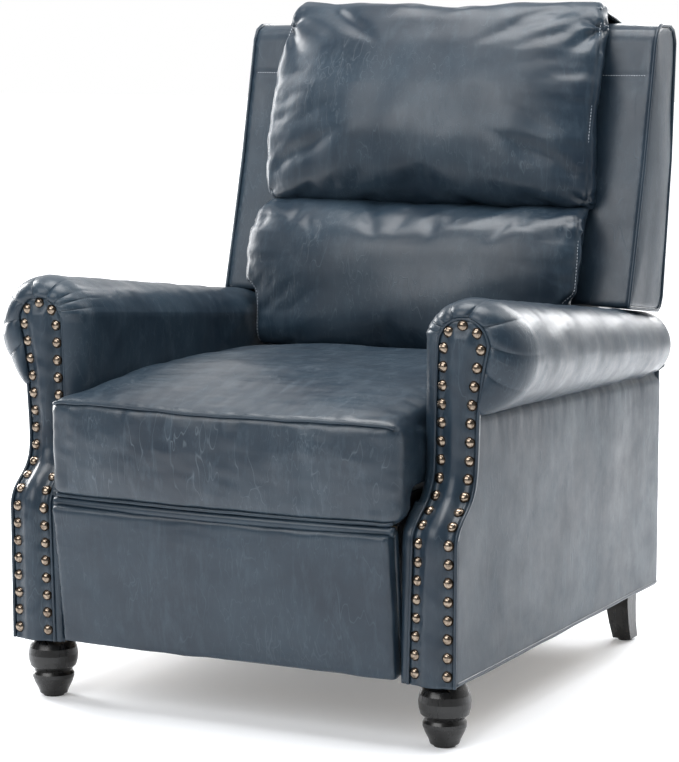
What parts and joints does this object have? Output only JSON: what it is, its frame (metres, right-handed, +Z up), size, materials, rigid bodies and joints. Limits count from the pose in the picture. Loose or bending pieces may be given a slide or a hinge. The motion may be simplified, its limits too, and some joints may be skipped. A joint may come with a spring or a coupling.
{
  "type": "recliner armchair",
  "caption": "Push-back recliner armchair with rolled arms, nail-trimmed front facings, pillow back, turned feet and a fold-out footrest",
  "frame": {"origin": "centre of the chair's footprint box, on the floor", "axes": "+X towards the sitter's left, -Y to the front, +Z up"},
  "size_m": [0.8342, 0.844, 0.997],
  "materials": {
    "blue_leather": "semi-gloss crackled slate blue",
    "timber": "raw timber and plywood",
    "nail_bronze": "antique bronze",
    "black_lacquer": "satin black lacquer",
    "glide_plastic": "matt black",
    "pin_steel": "zinc plated",
    "mechanism_steel": "black powder coat",
    "spring_wire": "oiled wire"
  },
  "bodies": {
    "base": {"arm_panel_inner_left": "timber", "arm_panel_inner_right": "timber", "arm_panel_outer_left": "timber", "arm_panel_outer_right": "timber", "arm_front_posts": "timber", "arm_rear_posts": "timber", "arm_lower_rails": "timber", "arm_top_rails": "timber", "arm_roll_left": "blue_leather", "arm_roll_right": "blue_leather", "arm_pad_left": "blue_leather", "arm_pad_right": "blue_leather", "arm_facing_left": "blue_leather", "arm_facing_right": "blue_leather", "side_cover_left": "blue_leather", "side_cover_right": "blue_leather", "facing_nails_left": "nail_bronze", "facing_nails_right": "nail_bronze", "front_foot_left": "black_lacquer", "front_foot_right": "black_lacquer", "rear_leg_left": "black_lacquer", "rear_leg_right": "black_lacquer", "leg_glides": "glide_plastic", "hanger_bolts": "pin_steel", "rear_rail": "timber", "front_stretcher": "timber", "base_rear_cover": "blue_leather", "base_plate_left": "mechanism_steel", "base_plate_right": "mechanism_steel", "base_pins": "pin_steel"},
    "rear_swing": {"rear_swing_links": "mechanism_steel"},
    "front_swing": {"front_swing_links": "mechanism_steel"},
    "seat": {"seat_plate_left": "mechanism_steel", "seat_plate_right": "mechanism_steel", "seat_side_rails": "timber", "seat_front_rail": "timber", "seat_rear_rail": "timber", "seat_springs": "spring_wire", "seat_cushion": "blue_leather", "seat_pins": "pin_steel"},
    "back": {"back_stile_left": "timber", "back_stile_right": "timber", "back_top_rail": "timber", "back_bottom_rail": "timber", "back_brackets": "mechanism_steel", "back_springs": "spring_wire", "back_wing_left": "blue_leather", "back_wing_right": "blue_leather", "back_rear_cover": "blue_leather", "headrest_cushion": "blue_leather", "lumbar_cushion": "blue_leather"},
    "front_link": {"front_links": "mechanism_steel"},
    "rear_link": {"rear_links": "mechanism_steel"},
    "main_link": {"main_links": "mechanism_steel", "main_link_pins": "pin_steel"},
    "footrest": {"footrest_board": "timber", "footrest_pad": "blue_leather", "footrest_brackets": "mechanism_steel"}
  },
  "joints": [
    {"name": "rear_swing", "type": "hinge", "parent": "base", "child": "rear_swing", "pos_m": [0, 0.21, 0.165], "axis": [1, 0, 0], "range_deg": [0, 21.02]},
    {"name": "front_swing", "type": "hinge", "parent": "base", "child": "front_swing", "pos_m": [0, -0.12, 0.165], "axis": [1, 0, 0], "range_deg": [0, 21.02]},
    {"name": "seat_level", "type": "hinge", "parent": "rear_swing", "child": "seat", "pos_m": [0, 0.23005, 0.27316], "axis": [-1, 0, 0], "range_deg": [0, 21.02]},
    {"name": "recline", "type": "hinge", "parent": "seat", "child": "back", "pos_m": [0, 0.345, 0.33], "axis": [-1, 0, 0], "range_deg": [0, 36]},
    {"name": "front_link", "type": "hinge", "parent": "seat", "child": "front_link", "pos_m": [0, -0.328, 0.285], "axis": [-1, 0, 0], "range_deg": [0, 84.34]},
    {"name": "rear_link", "type": "hinge", "parent": "seat", "child": "rear_link", "pos_m": [0, -0.3598, 0.2434], "axis": [-1, 0, 0], "range_deg": [0, 96.41]},
    {"name": "main_link", "type": "hinge", "parent": "front_link", "child": "main_link", "pos_m": [0, -0.31584, 0.13981], "axis": [1, 0, 0], "range_deg": [0, 130.47]},
    {"name": "footrest_tilt", "type": "hinge", "parent": "main_link", "child": "footrest", "pos_m": [0, -0.35561, 0.28848], "axis": [-1, 0, 0], "range_deg": [0, 128.15]}
  ],
  "couplings": [
    {"joint": "rear_swing", "follows": "recline", "ratio": 0.58333},
    {"joint": "front_swing", "follows": "recline", "ratio": 0.58333},
    {"joint": "seat_level", "follows": "recline", "ratio": 0.58333},
    {"joint": "front_link", "follows": "recline", "ratio": 2.3421},
    {"joint": "rear_link", "follows": "recline", "ratio": 2.6775},
    {"joint": "main_link", "follows": "recline", "ratio": 3.6235},
    {"joint": "footrest_tilt", "follows": "recline", "ratio": 3.5591}
  ]
}
